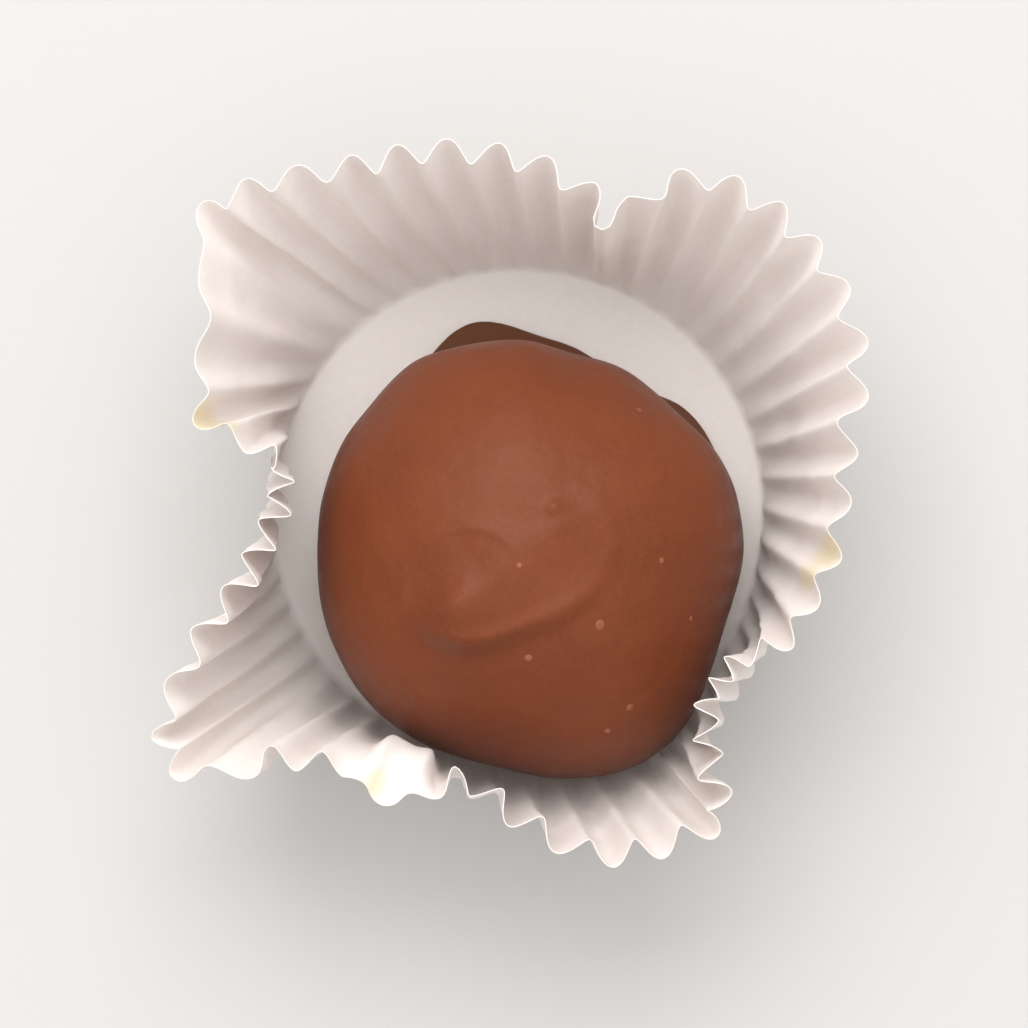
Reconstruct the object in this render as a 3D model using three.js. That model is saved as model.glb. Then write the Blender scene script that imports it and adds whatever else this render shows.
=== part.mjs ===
// A milk chocolate covered cherry, dipped by hand, in its fluted paper cup.
// Millimetres, +Z up. The origin is the centre of the underside of the cup's flat base.
// The chocolate stands off the cup's centre, and the cup is bent as it is when it shares a full box:
// flared at four corners, pressed straight between them, and pushed out where the chocolate leans on it.

import * as THREE from 'three';

const { degToRad, radToDeg, euclideanModulo, lerp, smoothstep } = THREE.MathUtils;
const TURN = 2 * Math.PI;

// ---- Paper cup: driving dimensions ----
const BASE_RADIUS = 15.9; // a base of 1 1/4 inch across
const WALL_LENGTH = 19; // 3/4 inch, measured up the slant
const PAPER = 0.2; // thickness, stouter than real paper so that the wall stays one sound solid
const FLUTES = 52;
const FIRST_FLUTE = 136; // degrees round the base, counter-clockwise from +X, at flute 0
const FLUTE_SHARPNESS = 0.1; // rounds the outer folds and sharpens the inner ones
const DEEPEST_FLUTE = 0.34; // share of a flute's own width, where the rim is crowded
const SAMPLES_PER_FLUTE = 4;
const WALL_LEVELS = [0.08, 0.22, 0.4, 0.6, 0.8, 1]; // shares of the wall's length
const STEP = 0.02; // small step, in flutes and in shares of the wall, that a direction is taken over
const BELLY_LEVEL = 0.8; // under 1, a belly is fullest below the middle of the wall

// Where the rim goes, at the flutes that shape it, clockwise from the corner at the upper left.
// flute: its number. turn: degrees by which the rim leads the base. reach: the rim's distance from
// the cup's axis. belly: how far the wall swells outwards between base and rim.
const RIM = [
  { flute: 0, turn: 6.6, reach: 23.7, belly: 0 },
  { flute: 1, turn: 8.5, reach: 25.9, belly: 0 }, // upper left corner
  { flute: 2, turn: 9.5, reach: 24.9, belly: 0 },
  { flute: 4, turn: 8.3, reach: 22.3, belly: 0 },
  { flute: 7, turn: 4.6, reach: 20.5, belly: 0 },
  { flute: 9, turn: 1.1, reach: 18.6, belly: 0 },
  { flute: 9.5, turn: 0.2, reach: 17.6, belly: 0 }, // notch pinched into the rim
  { flute: 10, turn: -0.4, reach: 18.8, belly: 0 },
  { flute: 11, turn: 0.8, reach: 21.8, belly: 0 },
  { flute: 12, turn: 0.2, reach: 23.2, belly: 0 },
  { flute: 14, turn: -0.9, reach: 23.9, belly: 0 }, // upper right corner
  { flute: 16, turn: -3.0, reach: 23.2, belly: 0 },
  { flute: 18, turn: -6.0, reach: 20.9, belly: 0 },
  { flute: 20, turn: -10.8, reach: 20.3, belly: 0.3 },
  { flute: 22, turn: -14.0, reach: 19.4, belly: 0.9 },
  { flute: 23.5, turn: -12.6, reach: 17.7, belly: 1.5 }, // straight against the chocolate
  { flute: 25, turn: -9.8, reach: 17.9, belly: 1.6 },
  { flute: 27, turn: -2.9, reach: 20.8, belly: 1.1 },
  { flute: 29, turn: 5.0, reach: 24.5, belly: 0.6 }, // lower right corner
  { flute: 31, turn: 3.8, reach: 23.8, belly: 0.8 },
  { flute: 33, turn: 3.4, reach: 20.6, belly: 1.2 },
  { flute: 35, turn: 2.7, reach: 18.7, belly: 1.3 },
  { flute: 36.5, turn: 1.9, reach: 19.3, belly: 0.8 },
  { flute: 38, turn: -1.0, reach: 21.6, belly: 0.2 },
  { flute: 39, turn: 0.9, reach: 24.1, belly: 0 },
  { flute: 40, turn: 1.2, reach: 27.0, belly: 0 }, // lower left corner
  { flute: 41, turn: 3.4, reach: 26.5, belly: 0 },
  { flute: 43, turn: 8.1, reach: 21.2, belly: 0 },
  { flute: 45, turn: 12.0, reach: 16.4, belly: 0 },
  { flute: 47, turn: 12.8, reach: 14.2, belly: 0 }, // pressed in on the left
  { flute: 48, turn: 12.8, reach: 14.2, belly: 0 },
  { flute: 49, turn: 15.2, reach: 16.2, belly: 0 }, // sharp fold out to the next corner
  { flute: 50, turn: 18.0, reach: 19.3, belly: 0 },
  { flute: 51, turn: 13.5, reach: 21.0, belly: 0 },
];
const CURL = { flute: 36.8, spread: 1.5, depth: 1.1 }; // one place where the rim rolls outwards

// ---- Chocolate: driving dimensions ----
const CENTRE = { x: 0.95, y: -3.5 }; // of the dome, from the cup's axis
const HEIGHT = 21;
const STAND_OFF = 0.1; // clear space over the paper floor
const RADIUS = 13.85; // mean, where the dome is widest
const WIDEST_LEVEL = 7.5;
// The outline seen from above is a rounded, lopsided circle: waves a whole number of times round it
const OUTLINE = [
  { times: 2, depth: 0.4, peak: 111 },
  { times: 4, depth: 0.42, peak: 23 },
  { times: 5, depth: 0.33, peak: 18 },
];
const FOOT = { radius: 12.3, x: -0.2, y: 2.2, lip: 0.9 }; // its centre from the dome's
const SPILL = { angle: 104, spread: 13, reach: 1.7 }; // where the foot ran out widest
// How sharply the side leaves the foot, as a power: round where the foot is tucked in under the dome
// by 3 mm, and thin like a lip where it stands out by 0.5 mm.
const SIDE = { round: 1.8, lipped: 7, tucked: -3, proud: 0.5 };
const SEGMENTS = 72;
const FOOT_RINGS = 3;
const SIDE_RINGS = 6;
const SIDE_RING_SPREAD = 1.5; // over 1, the rings are closer together at the lip
const DOME_RINGS = 20;
const DOME_RING_SPREAD = 0.35; // 0 bunches the rings at the side, 1 spaces them evenly

// The swirl left on top when the dipped cherry was set down, from the dome's centre
const SWIRL = { x: 0.3, y: -1.3, height: 0.5, inner: 1.3, outer: 0.75, fadeIn: 12 };
const SWIRL_PATH = [
  { angle: 222, radius: 6.2, share: 0.6 },
  { angle: 245, radius: 3.9, share: 1 },
  { angle: 274, radius: 3.1, share: 1 },
  { angle: 314, radius: 3.4, share: 1 },
  { angle: 360, radius: 4.8, share: 0.9 },
  { angle: 395, radius: 5.2, share: 0.6 },
  { angle: 432, radius: 5.4, share: 0 },
];
const LOBE = { x: -3.5, y: -2.6, across: 3.0, deep: 2.2, height: 0.8 };
const BASIN = { x: 1.0, y: -0.4, across: 2.6, deep: 2.2, height: -0.35 };
const NUB = { x: 1.9, y: 1.9, across: 0.7, deep: 0.6, height: 0.35 };

// ---- Curves through named values ----

// A smooth curve through values at rising places, without overshoot. Gives value(place).
function curveThrough(places, values) {
  const last = places.length - 1;
  const rise = (i) => (values[i + 1] - values[i]) / (places[i + 1] - places[i]);
  const slopes = values.map((_, i) => {
    if (i === 0) return rise(0);
    if (i === last) return rise(last - 1);
    const before = rise(i - 1);
    const after = rise(i);
    return before * after > 0 ? (2 * before * after) / (before + after) : 0;
  });
  return (place) => {
    let i = 0;
    while (i < last - 1 && place > places[i + 1]) i += 1;
    const span = places[i + 1] - places[i];
    const u = (place - places[i]) / span;
    const hump = u * (1 - u) * span;
    return lerp(values[i], values[i + 1], u * u * (3 - 2 * u))
      + hump * (slopes[i] * (1 - u) - slopes[i + 1] * u);
  };
}

// The same, closed after one lap of the rim.
function curveRound(key) {
  const laps = [-FLUTES, 0, FLUTES];
  const places = laps.flatMap((lap) => RIM.map((row) => row.flute + lap));
  const values = laps.flatMap(() => RIM.map((row) => row[key]));
  const curve = curveThrough(places, values);
  return (flute) => curve(euclideanModulo(flute, FLUTES));
}

function mound({ x, y, across, deep, height }, px, py) {
  return height * Math.exp(-(((px - x) / across) ** 2) - ((py - y) / deep) ** 2);
}

// ---- Paper cup ----

const turnAt = curveRound('turn');
const reachAt = curveRound('reach');
const bellyAt = curveRound('belly');

// The wall without its flutes: straight lines from the base to the rim, swelled by belly and curl.
function smoothWall(flute, share) {
  const foot = degToRad(FIRST_FLUTE - (flute * 360) / FLUTES);
  const rim = foot + degToRad(turnAt(flute));
  const base = new THREE.Vector3(Math.cos(foot), Math.sin(foot), 0).multiplyScalar(BASE_RADIUS);
  const top = new THREE.Vector3(Math.cos(rim), Math.sin(rim), 0).multiplyScalar(reachAt(flute));
  const run = top.distanceTo(base);
  top.z = Math.sqrt(WALL_LENGTH ** 2 - run ** 2);
  const outwards = lerp(foot, rim, share);
  const belly = bellyAt(flute) * Math.sin(Math.PI * share ** BELLY_LEVEL);
  const near = Math.exp(-(((flute - CURL.flute) / CURL.spread) ** 2));
  const swell = belly + CURL.depth * near * Math.sin(TURN * share);
  const point = base.lerp(top, share);
  point.x += swell * Math.cos(outwards);
  point.y += swell * Math.sin(outwards);
  return point;
}

// Paper doesn't stretch. A flute is as deep as it takes to use up the spare paper: paper is the width
// of flat paper in one flute, and pitch the width that the wall gives it. The slope is that of a wave
// whose length is paper, to the second term.
function fluteDepth(paper, pitch) {
  const spare = Math.max(paper / pitch - 1, 0);
  const slope = 2 * Math.sqrt(spare) * (1 + 0.31 * spare);
  return pitch * Math.min(slope / TURN, DEEPEST_FLUTE);
}

// Outwards from a surface at one place, from how it runs along the flutes' count and up the wall.
function outwardsFrom(surface, flute, share) {
  const across = surface(flute + STEP, share).sub(surface(flute - STEP, share));
  const upwards = surface(flute, share + STEP).sub(surface(flute, Math.max(share - STEP, 0)));
  return upwards.cross(across).normalize();
}

// The middle of the paper, with its flutes.
function flutedWall(flute, share) {
  const pitch = smoothWall(flute + STEP, share).distanceTo(smoothWall(flute - STEP, share)) / (2 * STEP);
  const paper = (TURN * (BASE_RADIUS + share * WALL_LENGTH)) / FLUTES;
  const wave = Math.cos(TURN * flute) - FLUTE_SHARPNESS * Math.cos(2 * TURN * flute);
  const outwards = outwardsFrom(smoothWall, flute, share);
  return smoothWall(flute, share).addScaledVector(outwards, fluteDepth(paper, pitch) * wave);
}

// One face of the wall: side is 1 for the outer face and -1 for the inner one.
function wallFace(flute, share, side) {
  const outwards = outwardsFrom(flutedWall, flute, share);
  const face = flutedWall(flute, share).addScaledVector(outwards, (side * PAPER) / 2);
  face.z += PAPER / 2;
  return face;
}

function paperCup() {
  // The cup's section in one round, from the middle of the underside out to the base's edge, up the
  // outer face, over the rim, down the inner face and back over the floor.
  const section = [
    { radius: 0, z: 0 },
    { radius: BASE_RADIUS, z: 0 },
    ...WALL_LEVELS.map((share) => ({ share, side: 1 })),
    ...WALL_LEVELS.map((share) => ({ share, side: -1 })).reverse(),
    { radius: BASE_RADIUS - PAPER, z: PAPER },
    { radius: 0, z: PAPER },
  ];
  const place = (point, flute) => {
    if (point.side) return wallFace(flute, point.share, point.side);
    const angle = degToRad(FIRST_FLUTE - (flute * 360) / FLUTES);
    return new THREE.Vector3(point.radius * Math.cos(angle), point.radius * Math.sin(angle), point.z);
  };

  const columns = FLUTES * SAMPLES_PER_FLUTE;
  const outline = section.map((point) => {
    return new THREE.Vector2(point.radius ?? BASE_RADIUS, point.z ?? point.share * WALL_LENGTH);
  });
  const geometry = new THREE.LatheGeometry(outline, columns);
  const position = geometry.attributes.position;
  for (let column = 0; column <= columns; column += 1) {
    const flute = ((columns - column) % columns) / SAMPLES_PER_FLUTE;
    section.forEach((point, row) => {
      position.setXYZ(column * section.length + row, ...place(point, flute));
    });
  }
  geometry.computeVertexNormals();
  return geometry;
}

// ---- Chocolate ----

function domeRadius(angle) {
  const waves = OUTLINE.map(({ times, depth, peak }) => depth * Math.cos(times * (angle - degToRad(peak))));
  return RADIUS + waves.reduce((sum, wave) => sum + wave, 0);
}

// How far the foot's edge is from the dome's axis.
function footRadius(angle) {
  const along = FOOT.x * Math.cos(angle) + FOOT.y * Math.sin(angle);
  const off = FOOT.x * Math.sin(angle) - FOOT.y * Math.cos(angle);
  const aside = euclideanModulo(radToDeg(angle) - SPILL.angle + 180, 360) - 180;
  const spill = SPILL.reach * Math.exp(-((aside / SPILL.spread) ** 2));
  return along + Math.sqrt(FOOT.radius ** 2 - off ** 2) + spill;
}

const swirlRadius = curveThrough(SWIRL_PATH.map((row) => row.angle), SWIRL_PATH.map((row) => row.radius));
const swirlShare = curveThrough(SWIRL_PATH.map((row) => row.angle), SWIRL_PATH.map((row) => row.share));

// Height of the swirl's relief at a place on top, from the dome's centre.
function relief(x, y) {
  const dx = x - SWIRL.x;
  const dy = y - SWIRL.y;
  const start = SWIRL_PATH[0].angle;
  const end = SWIRL_PATH[SWIRL_PATH.length - 1].angle;
  const angle = start + euclideanModulo(radToDeg(Math.atan2(dy, dx)) - start, 360);
  let ridge = 0;
  if (angle < end) {
    const past = Math.hypot(dx, dy) - swirlRadius(angle);
    const width = past > 0 ? SWIRL.outer : SWIRL.inner;
    const share = swirlShare(angle) * smoothstep(angle, start, start + SWIRL.fadeIn);
    ridge = SWIRL.height * share * Math.exp(-((past / width) ** 2));
  }
  return ridge + mound(LOBE, x, y) + mound(BASIN, x, y) + mound(NUB, x, y);
}

// The radius at a share of the way up from the foot's lip to the widest level. Where the foot is the
// smaller, the side is rounded in below, and where it is the larger, it is a thin lip.
function sideRadius(angle, share) {
  const dome = domeRadius(angle);
  const foot = footRadius(angle);
  const power = lerp(SIDE.round, SIDE.lipped, smoothstep(foot - dome, SIDE.tucked, SIDE.proud));
  return lerp(dome, foot, (1 - share) ** power);
}

function chocolate() {
  const bottom = PAPER + STAND_OFF;
  const profile = [];
  for (let ring = 0; ring <= FOOT_RINGS; ring += 1) {
    profile.push({ part: 'foot', share: ring / FOOT_RINGS });
  }
  for (let ring = 0; ring < SIDE_RINGS; ring += 1) {
    profile.push({ part: 'side', share: (ring / SIDE_RINGS) ** SIDE_RING_SPREAD });
  }
  for (let ring = 0; ring <= DOME_RINGS; ring += 1) {
    profile.push({ part: 'dome', share: ring / DOME_RINGS });
  }

  const place = ({ part, share }, angle) => {
    if (part === 'foot') {
      return { radius: share * (footRadius(angle) - FOOT.lip / 2), z: bottom };
    }
    if (part === 'side') {
      return { radius: sideRadius(angle, share), z: lerp(bottom + FOOT.lip, WIDEST_LEVEL, share) };
    }
    const inwards = Math.cos((share * Math.PI) / 2) * lerp(1, 1 - share, DOME_RING_SPREAD);
    const radius = domeRadius(angle) * inwards;
    const up = (HEIGHT - WIDEST_LEVEL) * Math.sqrt(1 - inwards ** 2);
    const lift = relief(radius * Math.cos(angle), radius * Math.sin(angle));
    return { radius, z: WIDEST_LEVEL + up + lift };
  };

  const section = profile.map((row) => {
    const { radius, z } = place(row, 0);
    return new THREE.Vector2(radius, z);
  });
  const geometry = new THREE.LatheGeometry(section, SEGMENTS);
  const position = geometry.attributes.position;
  for (let segment = 0; segment <= SEGMENTS; segment += 1) {
    const angle = ((segment % SEGMENTS) * TURN) / SEGMENTS;
    profile.forEach((row, point) => {
      const { radius, z } = place(row, angle);
      const x = CENTRE.x + radius * Math.cos(angle);
      const y = CENTRE.y + radius * Math.sin(angle);
      position.setXYZ(segment * profile.length + point, x, y, z);
    });
  }
  geometry.computeVertexNormals();
  return geometry;
}

// ---- The part ----

const paper = new THREE.MeshStandardMaterial({ color: 0xe9e4e1, roughness: 0.75, metalness: 0 });
const milkChocolate = new THREE.MeshStandardMaterial({ color: 0x7d452d, roughness: 0.42, metalness: 0 });

const cup = new THREE.Mesh(paperCup(), paper);
cup.name = 'paper_cup';

const cherry = new THREE.Mesh(chocolate(), milkChocolate);
cherry.name = 'chocolate_cherry';

const part = new THREE.Group();
part.add(cup, cherry);

export default part;
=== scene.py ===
"""A hand-dipped milk chocolate cherry in its bent, fluted paper cup, seen from nearly straight above.

Lengths in the tables are in millimetres, and everything that reaches a mesh is in metres. The frame's
origin is the centre of the underside of the cup's flat base, +Z up, +Y towards the photograph's top.
"""

import bisect
import functools
import math
import random

import bmesh
import bpy
from bpy.props import FloatProperty, FloatVectorProperty, IntProperty, PointerProperty
from mathutils import Matrix, Vector, noise


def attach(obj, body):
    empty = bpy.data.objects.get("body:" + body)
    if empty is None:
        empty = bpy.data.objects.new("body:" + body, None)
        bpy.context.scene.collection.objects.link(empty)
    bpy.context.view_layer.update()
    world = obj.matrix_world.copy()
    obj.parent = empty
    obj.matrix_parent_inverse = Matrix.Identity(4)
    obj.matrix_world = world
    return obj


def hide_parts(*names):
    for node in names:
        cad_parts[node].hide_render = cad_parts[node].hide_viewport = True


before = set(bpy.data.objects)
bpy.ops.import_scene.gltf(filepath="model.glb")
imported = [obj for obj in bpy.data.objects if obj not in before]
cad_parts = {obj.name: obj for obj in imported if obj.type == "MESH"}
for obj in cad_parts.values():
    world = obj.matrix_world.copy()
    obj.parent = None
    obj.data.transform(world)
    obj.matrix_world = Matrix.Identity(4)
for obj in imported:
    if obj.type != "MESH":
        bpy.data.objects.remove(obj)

bl_info = {
    "name": "Chocolate covered cherry",
    "version": (1, 0, 0),
    "blender": (4, 5, 0),
    "location": "View3D > Sidebar > Sweets",
    "description": "Makes a dipped chocolate cherry in a fluted paper cup, with its stage",
    "category": "Add Mesh",
}

MM = 0.001
TURN = 2 * math.pi
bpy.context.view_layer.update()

# ---- Paper cup ----

FLUTES = 52
FIRST_FLUTE = 136  # degrees round the base, counter-clockwise from +X, at flute 0
BELLY_LEVEL = 0.8  # under 1, an outward belly is fullest below the middle of the wall
ROLL_LEVEL = 2.5  # over 1, an inward one is fullest above it
DEEPEST_FLUTE = 0.31  # share of a flute's own width, where the rim is crowded
DEEPER = 0.31  # second term in how a flute's depth follows from its spare paper, after the square root
MERGE = 0.001  # points nearer than this are one
FLOOR_RINGS = (0, 0.25, 0.5, 0.7, 0.82, 0.9, 0.95, 0.98, 1)  # shares of the base's radius

# Where the rim goes, at the flutes that shape it, clockwise from the corner at the upper left:
# flute, degrees by which the rim leads the base, reach from the cup's axis, outward belly.
RIM = (
    (0, 10.0, 23.0, 0),
    (1, 8.5, 25.9, 0),  # upper left corner
    (2, 9.5, 24.9, 0),
    (4, 8.3, 22.3, 0),
    (7, 4.6, 20.5, 0),
    (9, 1.1, 18.6, 0),
    (9.5, 0.2, 17.6, 0),  # notch pinched into the rim
    (10, -0.4, 18.8, 0),
    (11, 0.8, 21.8, 0),
    (12, 0.2, 23.2, 0),
    (14, -0.9, 23.9, 0),  # upper right corner
    (16, -3.0, 23.2, 0),
    (18, -6.0, 20.9, 0),
    (20, -10.8, 20.3, 0.3),
    (22, -14.0, 19.4, 0.9),
    (23.5, -12.6, 17.7, 1.5),  # straight against the chocolate
    (25, -9.8, 17.9, 1.6),
    (27, -2.9, 20.8, 1.1),
    (29, 5.0, 24.5, 0.6),  # lower right corner
    (31, 3.8, 23.8, 0.8),
    (33, 3.4, 20.6, 1.2),
    (34.3, 2.9, 18.7, 1.2),
    (35.2, 2.4, 20.0, -1.2),
    (36.1, 1.9, 21.3, -2.9),  # one wide pleat that rolls outwards
    (37.0, 0.8, 20.4, -1.2),
    (37.8, -0.6, 21.2, 0),
    (38.4, -0.6, 22.2, 0.2),
    (39, 0.9, 24.1, 0),
    (40, 1.2, 27.0, 0),  # lower left corner
    (41, 3.4, 26.5, 0),
    (43, 8.1, 21.2, 0),
    (45, 12.0, 16.4, 0),
    (47, 12.8, 14.2, 0),  # pressed in on the left
    (48, 12.8, 14.2, 0),
    (49, 15.2, 16.2, 0),  # sharp fold out to the next corner
    (50, 18.0, 19.3, 0),
    (51, 14.5, 20.7, 0),
)
SOFT_FLUTE = 0.55  # least depth of a flute at the rim, where the paper is pulled nearly taut
# Where flutes are pressed flat: flute, spread over the flutes, share of their depth
PRESSED = (
    (0.6, 0.8, 0.35),  # upper left corner
    (20.8, 2.2, 0.35),  # the side that bends in towards the chocolate
    (36.1, 0.95, 0.8),  # the pleat that rolls outwards
    (48.8, 0.9, 0.3),  # the sharp fold on the left
)
WRINKLES = ((5, 0.18), (1.8, 0.08))  # unevenness of the handled paper: size, depth
WRINKLES_FULL = 0.25  # share of the wall's height over which they grow from the flat base
DENTS = ((20.8, 1.8, 0.8),)  # where the wall is pushed in above its base: flute, spread, depth
DENT_LEVEL = 0.6  # under 1, a dent is deepest below the middle of the wall
# Yellowed creases near the rim: x, y, radius
STAINS = ((-19.2, 4.1, 1.5), (-17.7, 3.4, 1.1), (-8.4, -18.6, 1.5), (19.5, -4.2, 1.5), (18.3, -5.6, 1.2))
STAIN_LEVELS = (0.6, 0.9)  # shares of the wall's height where a stain starts and where it is full
STEP = 0.02  # small step, in flutes and in shares of the wall, that a direction is taken over
UNEVEN = {"depth": 0.12, "place": 0.06}  # how much flutes differ, as shares of depth and width
SEED = 7

# ---- Chocolate ----

CENTRE = Vector((0.95, -3.5))  # of the dome, from the cup's axis
WIDEST_LEVEL = 7.5
# The outline seen from above is a rounded, lopsided circle: waves round it as times, depth, peak
OUTLINE = ((2, 0.4, 111), (4, 0.42, 23), (5, 0.33, 18))
FOOT = {"radius": 12.3, "x": -0.2, "y": 2.2, "lip": 0.9}  # its centre from the dome's, its lip's height
SPILL = {"angle": 104, "spread": 13, "reach": 1.7}  # where the foot ran out widest
# Power of the side's curve down to the foot: round where the foot is tucked under the dome by that much,
# and lipped where it stands proud of it by that much
SIDE = {"round": 1.8, "lipped": 7, "tucked": -3, "proud": 0.5}
# Where the coating ran down off the dome and out into the foot: angle, spread, off the dome, onto the foot
SLUMPS = ((93, 22, 0.95, 0), (64, 13, 0, -0.5), (27, 23, 0.5, 0.75))
SLUMP_ROUND = 4  # power that gives a slump its level middle and steep sides, seen from above
SLUMP_DOWN = 4  # power that keeps it low on the dome
# The hand-dipped skin's swells start above the foot, and a finer set lies over the main one
SWELLS = {"none_z": 1, "full_z": 4, "finer": 2.3, "finer_height": 0.4}

# The ridge of the swirl left on top when the dipped cherry was set down, counter-clockwise from the left,
# from the dome's centre: x, y, height
RIDGE = (
    (-7.2, -3.4, 0.05),
    (-6.9, -4.8, 0.3),
    (-5.6, -6.1, 0.75),
    (-3.9, -6.6, 1.15),
    (-2.0, -6.4, 1.0),
    (0.0, -5.75, 0.75),
    (2.2, -4.9, 0.6),
    (3.9, -3.7, 0.5),
    (5.0, -2.2, 0.42),
    (5.45, -0.6, 0.36),
    (5.2, 1.0, 0.28),
    (4.3, 2.3, 0.14),
    (3.2, 3.1, 0),
)
SWIRL_REACH = 12  # from the dome's centre
RIDGE_FALL = {"outer": 0.65, "inner": 0.75}  # how far its flanks reach, outside and inside the swirl
# The raised ground inside the ridge, which runs out towards its open side at the top and to the right.
# It rises across the ridge: outer and inner are shares of the edge's width, outside and inside its line.
TERRACE = {
    "height": 0.5, "edge": 0.55, "outer": 1.6, "inner": 0.6,
    "full_y": -2.2, "none_y": 1.6, "none_x": -7.2, "full_x": -4.4, "right": 5.5,
}
# The oval fold at the ridge's left end: the skin steps down into it on the side it faces. Counted inwards
# in shares of the oval, the step starts at the lip and ends at wide, or at narrow for its crisp share.
# It is full where it faces that way by the cosine in side, and fades out over the core, near the middle.
FOLD = {
    "x": -3.5, "y": -3.9, "across": 4.1, "deep": 4.3, "step": 0.36, "crisp": 0.35, "faces": 114,
    "lip": -0.03, "wide": 0.4, "narrow": 0.1, "side": 0.9, "core": (0.05, 0.55),
}
# Soft mounds and hollows of the swirl: x, y, half width, half depth, height
MOUNDS = (
    (-4.3, -4.8, 1.8, 1.6, 0.85),  # the hump of the fold
    (1.6, -2.0, 2.6, 1.8, -0.28),  # the basin inside the swirl
    (1.8, 1.75, 0.5, 0.45, 0.24),  # the nub where the thread of chocolate broke off
    (2.5, 1.0, 0.9, 0.8, 0.13),  # its tail
    (-0.6, 5.4, 3.6, 1.8, 0.12),  # the swell beyond the swirl's open side
    (6.2, -6.0, 2.6, 4.0, -0.16),  # the hollow outside it on the right
)
CRUMB = {"squash": 0.82, "sunk": 0.06}  # as shares of a crumb's radius
ABOVE = 10  # crumbs are dropped onto the skin from this far above the dome
# Crumbs and burst bubbles that show lighter, from the dome's centre: x, y, radius
CRUMBS = (
    (4.6, -5.4, 0.34),
    (0.2, -7.4, 0.26),
    (-0.3, -1.9, 0.18),
    (6.4, -10.2, 0.26),
    (5.0, -11.6, 0.24),
    (8.4, -1.3, 0.2),
    (7.0, 8.4, 0.18),
    (10.2, -4.6, 0.2),
)

# ---- Stage, in metres ----

CARD_HALF = 2  # half the card's side
CARD_DROP = 0.02 * MM  # clear of the cup's underside
WINDOW_PLACE = (-0.06, 0.46, 0.28)  # low, off the picture's top
SKYLIGHT_PLACE = (-0.05, 0.3, 0.5)  # higher, on the same side
LIGHT_SIZE = (0.5, 0.4)
TARGET = Vector((0, -1.0, 9)) * MM  # what the camera looks at
BACK = Vector((0.027, -0.101, 0.995))  # from there towards the camera


# ---- Small helpers ----


def linear(code):
    """The linear RGBA of an sRGB hex colour such as #7d452d."""
    parts = [int(code[i : i + 2], 16) / 255 for i in (1, 3, 5)]
    return (*(c / 12.92 if c <= 0.04045 else ((c + 0.055) / 1.055) ** 2.4 for c in parts), 1.0)


def mix(a, b, share):
    return a + (b - a) * share


def ease(value, low, high):
    """0 below low, 1 above high, smooth between."""
    share = min(max((value - low) / (high - low), 0), 1)
    return share * share * (3 - 2 * share)


def curve_through(places, values):
    """A smooth curve through values at rising places, without overshoot."""
    last = len(places) - 1
    rises = [(values[i + 1] - values[i]) / (places[i + 1] - places[i]) for i in range(last)]
    slopes = [rises[0]]
    for before, after in zip(rises, rises[1:]):
        level = before * after <= 0
        slopes.append(0 if level else 2 * before * after / (before + after))
    slopes.append(rises[-1])

    def value(place):
        i = min(max(bisect.bisect_right(places, place) - 1, 0), last - 1)
        span = places[i + 1] - places[i]
        u = (place - places[i]) / span
        hump = u * (1 - u) * span * (slopes[i] * (1 - u) - slopes[i + 1] * u)
        return mix(values[i], values[i + 1], u * u * (3 - 2 * u)) + hump

    return value


def curve_round(column):
    """A column of RIM as a curve over the flutes, closed after one lap."""
    laps = (-FLUTES, 0, FLUTES)
    places = [row[0] + lap for lap in laps for row in RIM]
    curve = curve_through(places, [row[column] for _ in laps for row in RIM])
    return functools.lru_cache(maxsize=None)(lambda flute: curve(flute % FLUTES))


def add_node(tree, kind, settings=(), **inputs):
    """Adds a shader node. settings are its attributes, and inputs its sockets by name, with
    underscores for spaces: a value, or an output socket to link."""
    node = tree.nodes.new(kind)
    for name, value in dict(settings).items():
        setattr(node, name, value)
    for name, value in inputs.items():
        socket = node.inputs[int(name[1:])] if name[0] == "_" else node.inputs[name.replace("_", " ")]
        if isinstance(value, bpy.types.NodeSocket):
            tree.links.new(value, socket)
        else:
            socket.default_value = value
    return node


def new_material(name):
    """A material with an empty node tree but for its output: (material, tree, output node)."""
    material = bpy.data.materials.new(name)
    material.use_nodes = True
    tree = material.node_tree
    tree.nodes.clear()
    return material, tree, tree.nodes.new("ShaderNodeOutputMaterial")


def finish_piece(bm, name, material, replaces=None):
    """Turns a bmesh into a smooth object in the scene that rides on the part."""
    mesh = bpy.data.meshes.new(name)
    bm.to_mesh(mesh)
    bm.free()
    mesh.shade_smooth()
    piece = bpy.data.objects.new(name, mesh)
    bpy.context.collection.objects.link(piece)
    mesh.materials.append(material)
    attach(piece, "root")
    if replaces:
        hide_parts(replaces)
    return piece


# ---- Shape of the paper cup ----


turn_at, reach_at, belly_at = curve_round(1), curve_round(2), curve_round(3)


def near(flute, place, spread):
    """1 at a place round the cup, falling to nothing on both sides of it."""
    aside = (flute - place + FLUTES / 2) % FLUTES - FLUTES / 2
    return math.exp(-((aside / spread) ** 2))


def smooth_wall(cup, flute, share):
    """The wall without its flutes: straight lines from the base to the rim, swelled a little."""
    foot = math.radians(FIRST_FLUTE - flute * 360 / FLUTES)
    rim = foot + math.radians(turn_at(flute))
    base = cup.base_radius * Vector((math.cos(foot), math.sin(foot), 0))
    top = reach_at(flute) * MM * Vector((math.cos(rim), math.sin(rim), 0))
    top.z = math.sqrt(cup.wall_length**2 - (top - base).length_squared)
    belly = belly_at(flute)
    swell = belly * math.sin(math.pi * share ** (BELLY_LEVEL if belly > 0 else ROLL_LEVEL))
    for place, spread, deep in DENTS:
        swell -= deep * near(flute, place, spread) * math.sin(math.pi * share**DENT_LEVEL)
    outwards = mix(foot, rim, share)
    return base.lerp(top, share) + swell * MM * Vector((math.cos(outwards), math.sin(outwards), 0))


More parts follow.
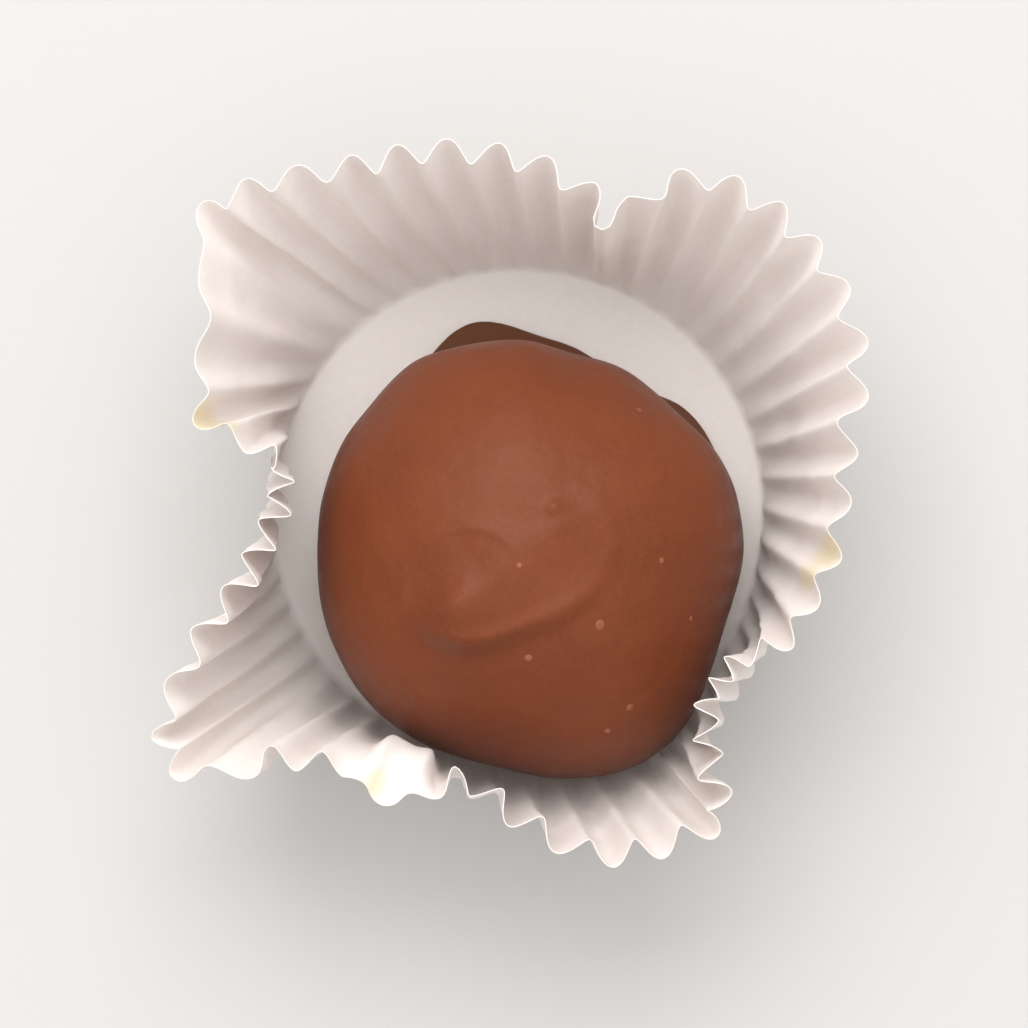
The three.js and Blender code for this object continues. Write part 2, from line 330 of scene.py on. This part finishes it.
def uneven_flutes(seed):
    """Depth factor and shift of the flutes, each a smooth closed curve over the flutes."""
    draw = random.Random(seed)
    curves = []
    for _ in range(2):
        values = [draw.uniform(-1, 1) for _ in range(FLUTES)]
        places = list(range(-1, FLUTES + 2))
        curve = curve_through(places, [values[i % FLUTES] for i in places])
        curves.append(lambda flute, curve=curve: curve(flute % FLUTES))
    return curves


def fluted_wall(cup, flute, share, uneven):
    """The middle of the paper, with its flutes. Paper doesn't stretch, so a flute is as deep as it
    takes to use up the spare paper."""
    ahead = smooth_wall(cup, flute + STEP, share) - smooth_wall(cup, flute - STEP, share)
    up = smooth_wall(cup, flute, share + STEP) - smooth_wall(cup, flute, max(share - STEP, 0))
    along = ahead.normalized()
    outwards = up.cross(ahead).normalized()
    pitch = ahead.length / (2 * STEP)
    paper = TURN * (cup.base_radius + share * cup.wall_length) / FLUTES
    spare = max(paper / pitch - 1, 0)
    depth = pitch * min(2 * math.sqrt(spare) * (1 + DEEPER * spare) / TURN, DEEPEST_FLUTE)
    depth = math.hypot(depth, SOFT_FLUTE * MM * share)
    depth *= 1 + UNEVEN["depth"] * uneven[0](flute)
    for place, spread, pressed in PRESSED:
        depth *= 1 - pressed * near(flute, place, spread)
    phase = TURN * (flute + UNEVEN["place"] * uneven[1](flute) * share)
    wave = math.cos(phase) - cup.fold_sharpness * math.cos(2 * phase)
    lean = cup.fold_overhang * pitch * min(spare, 1) * math.sin(2 * phase)
    point = smooth_wall(cup, flute, share)
    crumple = sum(deep * noise.noise(point / (size * MM)) for size, deep in WRINKLES) * MM
    crumple *= min(share / WRINKLES_FULL, 1)
    return point + (depth * wave + crumple) * outwards - lean * along


def paper_cup_mesh(cup):
    """The sheet of the cup: a floor and a wall, spun round the axis, then folded."""
    bm = bmesh.new()
    line = [bm.verts.new((cup.base_radius * share, 0, 0)) for share in FLOOR_RINGS]
    rows = cup.rows
    line += [bm.verts.new((cup.base_radius, 0, cup.wall_length * i / rows)) for i in range(1, rows + 1)]
    edges = [bm.edges.new(pair) for pair in zip(line, line[1:])]
    columns = FLUTES * cup.columns_per_flute
    bmesh.ops.spin(
        bm, geom=line + edges, cent=(0, 0, 0), axis=(0, 0, 1), dvec=(0, 0, 0),
        angle=TURN, steps=columns, use_merge=True, use_duplicate=False,
    )
    bmesh.ops.remove_doubles(bm, verts=bm.verts, dist=MERGE * MM)
    stained = bm.verts.layers.float.new("stain")
    uneven = uneven_flutes(SEED)
    lift = cup.thickness / 2
    for vert in bm.verts:
        x, y, z = vert.co
        # Rounded, so that a column's points share one place on the curves, which keep what they worked out.
        flute = round((FIRST_FLUTE - math.degrees(math.atan2(y, x))) * FLUTES / 360, 6)
        if z > 0:
            share = z / cup.wall_length
            vert.co = fluted_wall(cup, flute, share, uneven)
            flat = vert.co.xy / MM
            stain = max(1 - (flat - Vector((sx, sy))).length / radius for sx, sy, radius in STAINS)
            vert[stained] = max(stain, 0) * ease(share, *STAIN_LEVELS)
        vert.co.z += lift
    for edge in bm.edges:
        edge.smooth = not edge.is_boundary  # so that the cut edge keeps its own thin face
    bmesh.ops.recalc_face_normals(bm, faces=bm.faces)
    return bm


# ---- Shape of the chocolate ----


def dome_radius(angle, radius):
    """The dome's outline at its widest, without its slumps, in millimetres."""
    return radius + sum(d * math.cos(n * (angle - math.radians(peak))) for n, d, peak in OUTLINE)


def slump(angle, column):
    """How much chocolate ran off the dome (column 2) or onto the foot (column 3), in millimetres."""
    total = 0
    for row in SLUMPS:
        aside = (math.degrees(angle) - row[0] + 180) % 360 - 180
        total += row[column] * math.exp(-((aside / row[1]) ** SLUMP_ROUND))
    return total


def foot_radius(angle):
    """How far the foot's edge is from the dome's axis, in millimetres."""
    along = FOOT["x"] * math.cos(angle) + FOOT["y"] * math.sin(angle)
    off = FOOT["x"] * math.sin(angle) - FOOT["y"] * math.cos(angle)
    aside = (math.degrees(angle) - SPILL["angle"] + 180) % 360 - 180
    spill = SPILL["reach"] * math.exp(-((aside / SPILL["spread"]) ** 2))
    return along + math.sqrt(FOOT["radius"] ** 2 - off**2) + spill + slump(angle, 3)


def ridge_relief(x, y):
    """Height of the swirl's ridge, and of the raised ground inside it."""
    best = None
    for (ax, ay, ah), (bx, by, bh) in zip(RIDGE, RIDGE[1:]):
        dx, dy = bx - ax, by - ay
        share = ((x - ax) * dx + (y - ay) * dy) / (dx * dx + dy * dy)
        share = min(max(share, 0), 1)
        ox, oy = x - ax - share * dx, y - ay - share * dy
        far = math.hypot(ox, oy)
        if best is None or far < best[0]:
            best = (far, dx * oy - dy * ox > 0, mix(ah, bh, share))
    far, inside, height = best
    fall = RIDGE_FALL["inner" if inside else "outer"]
    crest = (1 - TERRACE["height"]) * height * math.exp(-((far / fall) ** 2))
    window = ease(-y, -TERRACE["none_y"], -TERRACE["full_y"])
    window *= ease(x, TERRACE["none_x"], TERRACE["full_x"])
    window *= ease(-x, -TERRACE["right"], 0)
    low, high = -TERRACE["edge"] * TERRACE["outer"], TERRACE["edge"] * TERRACE["inner"]
    raised = ease(far if inside else -far, low, high)
    return crest + TERRACE["height"] * window * raised


def swirl_relief(x, y):
    """Height of the swirl's relief at a place on top, in millimetres."""
    if math.hypot(x, y) > SWIRL_REACH:
        return 0
    height = ridge_relief(x, y)
    dx, dy = (x - FOLD["x"]) / FOLD["across"], (y - FOLD["y"]) / FOLD["deep"]
    out = math.hypot(dx, dy)
    facing = math.cos(math.atan2(dy, dx) - math.radians(FOLD["faces"]))
    wide, narrow = (ease(1 - out, FOLD["lip"], FOLD[fall]) for fall in ("wide", "narrow"))
    step = mix(wide, narrow, FOLD["crisp"])
    height -= FOLD["step"] * step * ease(facing, 0, FOLD["side"]) * ease(out, *FOLD["core"])
    for mx, my, across, deep, tall in MOUNDS:
        height += tall * math.exp(-(((x - mx) / across) ** 2) - ((y - my) / deep) ** 2)
    return height


def chocolate_point(choc, direction):
    """Where a direction from a ball's middle lands on the dipped cherry, in millimetres."""
    angle = math.atan2(direction.y, direction.x)
    down = math.degrees(math.acos(min(max(direction.z, -1), 1)))
    rim, lip = choc.rim_angle, choc.lip_angle
    bottom = choc.stand_off / MM
    height = choc.height / MM
    dome = dome_radius(angle, choc.radius / MM)
    if down <= rim:
        tilt = math.radians(90 * down / rim)
        radius = dome * math.sin(tilt) - slump(angle, 2) * math.sin(tilt) ** SLUMP_DOWN
        z = WIDEST_LEVEL + (height - WIDEST_LEVEL) * math.cos(tilt)
        z += swirl_relief(radius * math.cos(angle), radius * math.sin(angle))
    elif down <= lip:
        share = (lip - down) / (lip - rim)
        dome -= slump(angle, 2)
        foot = foot_radius(angle)
        power = mix(SIDE["round"], SIDE["lipped"], ease(foot - dome, SIDE["tucked"], SIDE["proud"]))
        radius = mix(dome, foot, (1 - share) ** power)
        z = mix(bottom + FOOT["lip"], WIDEST_LEVEL, share)
    else:
        # The lip rounds over to the flat underside.
        share = (down - lip) / (180 - lip)
        turned = min(share / choc.lip_share, 1)
        inner = 1 - (share - choc.lip_share) / (1 - choc.lip_share) if share > choc.lip_share else 1
        edge = foot_radius(angle) - FOOT["lip"] / 2 * (1 - math.cos(turned * math.pi / 2))
        radius = edge * inner
        z = bottom + FOOT["lip"] * (1 - math.sin(turned * math.pi / 2))
    return Vector((CENTRE.x + radius * math.cos(angle), CENTRE.y + radius * math.sin(angle), z))


def chocolate_mesh(choc):
    """The dipped cherry: a finely divided cube, blown up to a ball and then to the sweet's shape."""
    bm = bmesh.new()
    bmesh.ops.create_cube(bm, size=2)
    bmesh.ops.subdivide_edges(bm, edges=bm.edges, cuts=choc.cuts, use_grid_fill=True)
    for vert in bm.verts:
        # Even angles over each face of the cube, so that no part of the ball is coarse.
        spread = Vector(math.tan(c * math.pi / 4) for c in vert.co)
        point = chocolate_point(choc, spread.normalized())
        free = ease(point.z, SWELLS["none_z"], SWELLS["full_z"])
        wave = noise.noise(point / choc.wave_size * MM)
        finer = noise.noise(point / choc.wave_size * SWELLS["finer"] * MM)
        wave = wave + SWELLS["finer_height"] * finer
        away = Vector((point.x - CENTRE.x, point.y - CENTRE.y, point.z - WIDEST_LEVEL)).normalized()
        vert.co = (point + away * wave * free * choc.wave_height / MM) * MM
    bmesh.ops.recalc_face_normals(bm, faces=bm.faces)
    return bm


# ---- Materials ----


def milk_chocolate(look):
    """Milk chocolate, hand-dipped and set in air: a satin skin of cocoa butter over a warm brown body,
    with faint cloudy bloom, uneven gloss and pinhole bubbles."""
    material, tree, out = new_material("milk_chocolate_dipped")
    place = add_node(tree, "ShaderNodeTexCoord").outputs["Object"]
    cloud = add_node(tree, "ShaderNodeTexNoise", Vector=place, Scale=1 / look.cloud_size,
                     Detail=3.0, Roughness=0.55)
    base = add_node(tree, "ShaderNodeMix", {"data_type": "RGBA"}, _0=cloud.outputs[0],
                    _6=look.dark_brown, _7=look.light_brown)
    grain = add_node(tree, "ShaderNodeTexNoise", Vector=place, Scale=1 / look.grain_size,
                     Detail=2.0, Roughness=0.6)
    speckle = add_node(tree, "ShaderNodeMapRange", Value=grain.outputs[0], _1=0.35, _2=0.75,
                       _3=0.0, _4=0.22)
    skin = add_node(tree, "ShaderNodeMix", {"data_type": "RGBA"}, _0=speckle.outputs[0],
                    _6=base.outputs[2], _7=look.bloom)
    # Painted shade: the colour turns darker brown down the steep side and duller brown at the foot, darker
    # towards the bottom.
    # The heights are in the object's own metres.
    level = add_node(tree, "ShaderNodeSeparateXYZ", Vector=place).outputs["Z"]
    above = add_node(tree, "ShaderNodeMapRange", {"interpolation_type": "SMOOTHSTEP"}, Value=level,
                     _1=look.side_shade_start, _2=look.side_shade_height)
    steep = add_node(tree, "ShaderNodeMix", {"data_type": "RGBA"}, _0=above.outputs[0],
                     _6=look.side_painted_shade, _7=skin.outputs[2])
    # Painted shade at the foot, in a duller brown.
    clear = add_node(tree, "ShaderNodeMapRange", {"interpolation_type": "SMOOTHSTEP"}, Value=level,
                     _1=look.foot_shade_start, _2=look.foot_shade_height)
    colour = add_node(tree, "ShaderNodeMix", {"data_type": "RGBA"}, _0=clear.outputs[0],
                      _6=look.foot_painted_shade, _7=steep.outputs[2])
    gloss = add_node(tree, "ShaderNodeMapRange", Value=cloud.outputs[0], _1=0.3, _2=0.7,
                     _3=look.roughness - 0.06, _4=look.roughness + 0.08)
    bump = add_node(tree, "ShaderNodeBump", Strength=0.35, Distance=0.05 * MM, Height=grain.outputs[0])
    soft = add_node(tree, "ShaderNodeTexNoise", Vector=place, Scale=1 / look.ripple_size, Detail=1.0)
    ripple = add_node(tree, "ShaderNodeBump", Strength=0.5, Distance=0.3 * MM, Height=soft.outputs[0],
                      Normal=bump.outputs[0])
    shader = add_node(tree, "ShaderNodeBsdfPrincipled", Base_Color=colour.outputs[2],
                      Roughness=gloss.outputs[0], Normal=ripple.outputs[0], IOR=1.46,
                      Specular_IOR_Level=0.2)
    tree.links.new(shader.outputs[0], out.inputs["Surface"])
    return material


def cup_paper(look):
    """Glassine cup paper: thin, bleached, smooth wood-pulp paper, pressed hot into flutes. Matt, a little
    translucent, with faint fibres and a few buttery stains where the rim is creased."""
    material, tree, out = new_material("glassine_cup_paper")
    place = add_node(tree, "ShaderNodeTexCoord").outputs["Object"]
    fibre = add_node(tree, "ShaderNodeTexNoise", Vector=place, Scale=1 / look.fibre_size,
                     Detail=3.0, Roughness=0.6)
    tint = add_node(tree, "ShaderNodeMix", {"data_type": "RGBA"}, _0=fibre.outputs[0],
                    _6=look.shade, _7=look.white)
    where = add_node(tree, "ShaderNodeAttribute", {"attribute_name": "stain"})
    strong = add_node(tree, "ShaderNodeMapRange", {"interpolation_type": "SMOOTHSTEP"},
                      Value=where.outputs["Fac"], _1=0.0, _2=0.7)
    colour = add_node(tree, "ShaderNodeMix", {"data_type": "RGBA"}, _0=strong.outputs[0],
                      _6=tint.outputs[2], _7=look.stain).outputs[2]
    bump = add_node(tree, "ShaderNodeBump", Strength=0.3, Distance=0.03 * MM, Height=fibre.outputs[0])
    shader = add_node(tree, "ShaderNodeBsdfPrincipled", Base_Color=colour, Roughness=0.62,
                      Normal=bump.outputs[0], IOR=1.45)
    glow = add_node(tree, "ShaderNodeBsdfTranslucent", Color=colour, Normal=bump.outputs[0])
    both = add_node(tree, "ShaderNodeMixShader", _0=look.translucency,
                    _1=shader.outputs[0], _2=glow.outputs[0])
    tree.links.new(both.outputs[0], out.inputs["Surface"])
    return material


def crumb_chocolate(look):
    """Bits of paler chocolate that stuck in the coating, dull where the coating is satin."""
    material, tree, out = new_material("chocolate_crumb")
    place = add_node(tree, "ShaderNodeTexCoord").outputs["Object"]
    grain = add_node(tree, "ShaderNodeTexNoise", Vector=place, Scale=1 / look.grain_size, Detail=2.0)
    colour = add_node(tree, "ShaderNodeMix", {"data_type": "RGBA"}, _0=grain.outputs[0],
                      _6=look.light_brown, _7=look.crumb)
    shader = add_node(tree, "ShaderNodeBsdfPrincipled", Base_Color=colour.outputs[2], Roughness=0.6)
    tree.links.new(shader.outputs[0], out.inputs["Surface"])
    return material


def white_card(look):
    """Smooth coated white card: flat and matt, with the faintest tooth."""
    material, tree, out = new_material("white_card")
    place = add_node(tree, "ShaderNodeTexCoord").outputs["Object"]
    grain = add_node(tree, "ShaderNodeTexNoise", Vector=place, Scale=1 / look.tooth_size, Detail=0.0)
    bump = add_node(tree, "ShaderNodeBump", Strength=0.05, Distance=0.02 * MM, Height=grain.outputs[0])
    shader = add_node(tree, "ShaderNodeBsdfPrincipled", Base_Color=look.card, Roughness=0.9,
                      Normal=bump.outputs[0])
    tree.links.new(shader.outputs[0], out.inputs["Surface"])
    return material


# ---- Settings ----


def length(name, description, millimetres):
    return FloatProperty(name=name, description=description, default=millimetres * MM,
                         unit="LENGTH", precision=5)


def colour(name, description, code):
    return FloatVectorProperty(name=name, description=description, default=linear(code), size=4,
                               subtype="COLOR", min=0, max=1)


class ChocolateSettings(bpy.types.PropertyGroup):
    height: length("Height", "From the cup's floor plane to the top of the dome", 21)
    radius: length("Radius", "Mean radius where the dome is widest", 13.85)
    stand_off: length("Stand-off", "Height of the chocolate's underside", 0.15)
    wave_height: length("Wave height", "How far the hand-dipped skin swells and sinks", 0.16)
    wave_size: length("Wave size", "Size of the swells in the skin", 6)
    cloud_size: length("Cloud size", "Size of the faint lighter and darker clouds", 6)
    grain_size: length("Grain size", "Size of the fine mottle, coarser than real so that it shows", 0.35)
    ripple_size: length("Ripple size", "Size of the small ripples in the skin", 2.2)
    # Heights of the painted shade: darker down the steep side, duller at the foot.
    side_shade_start: length("Side start", "How far up the steep side is at its darkest", 6)
    side_shade_height: length("Side height", "How far up the darker side fades out", 13.5)
    foot_shade_start: length("Foot start", "How far up the duller foot starts to fade", 1)
    foot_shade_height: length("Foot height", "How far up the duller foot fades out", 4)
    cuts: IntProperty(name="Cuts", description="Cuts along each edge of the starting cube", default=110)
    rim_angle: FloatProperty(name="Widest angle", default=104,
                             description="Where the dome ends, in degrees from the top")
    lip_angle: FloatProperty(name="Lip angle", default=138,
                             description="Where the foot's lip starts, in degrees from the top")
    lip_share: FloatProperty(name="Lip share", default=0.3,
                             description="Share of the underside's rings that round the lip")
    roughness: FloatProperty(name="Roughness", description="Mean roughness of the skin", default=0.42,
                             min=0, max=1)
    dark_brown: colour("Dark brown", "Darker clouds of the chocolate", "#5f2b15")
    light_brown: colour("Light brown", "Lighter clouds of the chocolate", "#73381b")
    # Painted shade on the steep side.
    side_painted_shade: colour("Side brown", "Darker chocolate where the coating is thin, on the side", "#53291a")
    # Painted shade at the foot.
    foot_painted_shade: colour("Foot brown", "Duller chocolate where the coating pooled at the foot", "#5e3a27")
    bloom: colour("Bloom", "Pale speckle of cocoa butter", "#7b442a")
    crumb: colour("Crumb", "Paler bits stuck in the skin", "#90522f")


class PaperCupSettings(bpy.types.PropertyGroup):
    base_radius: length("Base radius", "Radius of the flat round base", 15.9)
    wall_length: length("Wall length", "Length of the wall up its slant", 19)
    thickness: length("Thickness", "Thickness of the paper", 0.045)
    fold_sharpness: FloatProperty(name="Fold sharpness", default=0.12,
                                  description="Rounds outer folds, sharpens inner ones")
    fold_overhang: FloatProperty(name="Fold overhang", default=0.025,
                                 description="How far crowded folds lean over themselves")
    rows: IntProperty(name="Rows", description="Rows of faces up the wall", default=32)
    columns_per_flute: IntProperty(name="Columns", description="Columns of faces in a flute", default=16)
    fibre_size: length("Fibre size", "Size of the cloudy fibres in the paper", 0.5)
    translucency: FloatProperty(name="Translucency", description="Share of light let through", default=0.2,
                                min=0, max=1)
    white: colour("White", "The paper where it is lightest", "#f8f2ee")
    shade: colour("Shade", "The paper where its fibres are dense", "#f0e8e3")
    stain: colour("Stain", "Buttery stain on creases of the rim", "#f0e5cb")


class StageSettings(bpy.types.PropertyGroup):
    distance: length("Distance", "From the camera to the sweet", 400)
    lens: FloatProperty(name="Lens", description="Focal length in millimetres", default=222)
    window_power: FloatProperty(name="Window power", default=0.3,
                                description="Power of the low soft light, in watts")
    skylight_power: FloatProperty(name="Skylight power", default=2.3,
                                  description="Power of the high soft light, in watts")
    horizon: FloatProperty(name="Horizon", default=0.65,
                           description="Strength of the room's light from the sides")
    zenith: FloatProperty(name="Zenith", default=1.65,
                          description="Strength of the room's light from above")
    tooth_size: length("Tooth size", "Size of the faint tooth of the card", 0.6)
    card: colour("Card", "Colour of the card under the sweet", "#b9b7b5")


# ---- Operators ----


class SWEETS_OT_chocolate(bpy.types.Operator):
    """Make the dipped chocolate cherry"""

    bl_idname = "sweets.chocolate"
    bl_label = "Dipped cherry"

    def execute(self, context):
        choc = context.scene.sweet_chocolate
        finish_piece(chocolate_mesh(choc), "dipped_chocolate", milk_chocolate(choc),
                     replaces="chocolate_cherry")
        return {"FINISHED"}


class SWEETS_OT_crumbs(bpy.types.Operator):
    """Set the paler crumbs and bubbles into the chocolate's skin"""

    bl_idname = "sweets.crumbs"
    bl_label = "Crumbs"

    def execute(self, context):
        choc = context.scene.sweet_chocolate
        skin = bpy.data.objects["dipped_chocolate"]
        bm = bmesh.new()
        for x, y, radius in CRUMBS:
            start = Vector((CENTRE.x + x, CENTRE.y + y, choc.height / MM + ABOVE)) * MM
            hit, place, normal, _ = skin.ray_cast(start, (0, 0, -1))
            if not hit:
                raise RuntimeError(f"no chocolate under the crumb at {x}, {y}")
            ball = bmesh.ops.create_icosphere(bm, subdivisions=2, radius=radius * MM)["verts"]
            for vert in ball:
                flat = vert.co.dot(normal)
                vert.co += place - normal * (flat * CRUMB["squash"] + radius * CRUMB["sunk"] * MM)
        bmesh.ops.recalc_face_normals(bm, faces=bm.faces)
        finish_piece(bm, "chocolate_crumbs", crumb_chocolate(choc))
        return {"FINISHED"}


class SWEETS_OT_paper_cup(bpy.types.Operator):
    """Make the fluted paper cup"""

    bl_idname = "sweets.paper_cup"
    bl_label = "Paper cup"

    def execute(self, context):
        cup = context.scene.sweet_cup
        piece = finish_piece(paper_cup_mesh(cup), "fluted_cup", cup_paper(cup),
                             replaces="paper_cup")
        wall = piece.modifiers.new("paper", "SOLIDIFY")
        wall.thickness = cup.thickness
        wall.offset = 0
        return {"FINISHED"}


class SWEETS_OT_stage(bpy.types.Operator):
    """Lay the card, and set the lights and the camera"""

    bl_idname = "sweets.stage"
    bl_label = "Stage"

    def execute(self, context):
        stage = context.scene.sweet_stage
        bm = bmesh.new()
        bmesh.ops.create_grid(bm, x_segments=1, y_segments=1, size=CARD_HALF)
        mesh = bpy.data.meshes.new("card")
        bm.to_mesh(mesh)
        bm.free()
        mesh.materials.append(white_card(stage))
        card = bpy.data.objects.new("card", mesh)
        card.location.z = -CARD_DROP
        context.collection.objects.link(card)

        world = bpy.data.worlds.new("studio")
        world.use_nodes = True
        tree = world.node_tree
        way = add_node(tree, "ShaderNodeTexCoord").outputs["Generated"]
        way = add_node(tree, "ShaderNodeSeparateXYZ", Vector=way)
        glow = add_node(tree, "ShaderNodeMapRange", Value=way.outputs["Z"], _1=0.0, _2=1.0,
                        _3=stage.horizon, _4=stage.zenith)
        tree.links.new(glow.outputs[0], tree.nodes["Background"].inputs["Strength"])
        tree.nodes["Background"].inputs["Color"].default_value = (1, 1, 1, 1)
        context.scene.world = world

        lights = (
            ("window", stage.window_power, WINDOW_PLACE),
            ("skylight", stage.skylight_power, SKYLIGHT_PLACE),
        )
        for name, power, place in lights:
            light = bpy.data.lights.new(name, "AREA")
            light.shape = "RECTANGLE"
            light.size, light.size_y = LIGHT_SIZE
            light.energy = power
            lamp = bpy.data.objects.new(name, light)
            lamp.location = place
            lamp.rotation_euler = (-lamp.location).to_track_quat("-Z", "Y").to_euler()
            context.collection.objects.link(lamp)

        back = BACK.normalized()
        right = Vector((0, 1, 0)).cross(back).normalized()  # the picture's top is +Y
        camera = bpy.data.cameras.new("camera")
        camera.lens = stage.lens
        eye = bpy.data.objects.new("camera", camera)
        eye.location = TARGET + back * stage.distance
        eye.rotation_euler = Matrix((right, back.cross(right), back)).transposed().to_euler()
        context.collection.objects.link(eye)
        context.scene.camera = eye
        context.scene.view_settings.view_transform = "Standard"
        return {"FINISHED"}


class SWEETS_PT_panel(bpy.types.Panel):
    """Lists the settings and the steps that make the sweet"""

    bl_idname = "SWEETS_PT_panel"
    bl_label = "Chocolate cherry"
    bl_space_type = "VIEW_3D"
    bl_region_type = "UI"
    bl_category = "Sweets"

    def draw(self, context):
        for operators, settings in STEPS:
            box = self.layout.box()
            for operator in operators:
                box.operator(operator.bl_idname)
            group = getattr(context.scene, settings)
            for name in group.__annotations__:
                box.prop(group, name)


STEPS = (
    ((SWEETS_OT_chocolate, SWEETS_OT_crumbs), "sweet_chocolate"),
    ((SWEETS_OT_paper_cup,), "sweet_cup"),
    ((SWEETS_OT_stage,), "sweet_stage"),
)
GROUPS = {
    "sweet_chocolate": ChocolateSettings,
    "sweet_cup": PaperCupSettings,
    "sweet_stage": StageSettings,
}
CLASSES = (*GROUPS.values(), SWEETS_OT_chocolate, SWEETS_OT_crumbs, SWEETS_OT_paper_cup, SWEETS_OT_stage,
           SWEETS_PT_panel)


def register():
    for cls in CLASSES:
        bpy.utils.register_class(cls)
    for name, group in GROUPS.items():
        setattr(bpy.types.Scene, name, PointerProperty(type=group))


def unregister():
    for name in GROUPS:
        delattr(bpy.types.Scene, name)
    for cls in reversed(CLASSES):
        bpy.utils.unregister_class(cls)


def main():
    register()
    bpy.ops.sweets.stage()
    bpy.ops.sweets.chocolate()
    bpy.ops.sweets.crumbs()
    bpy.ops.sweets.paper_cup()


if __name__ == "__main__":
    main()
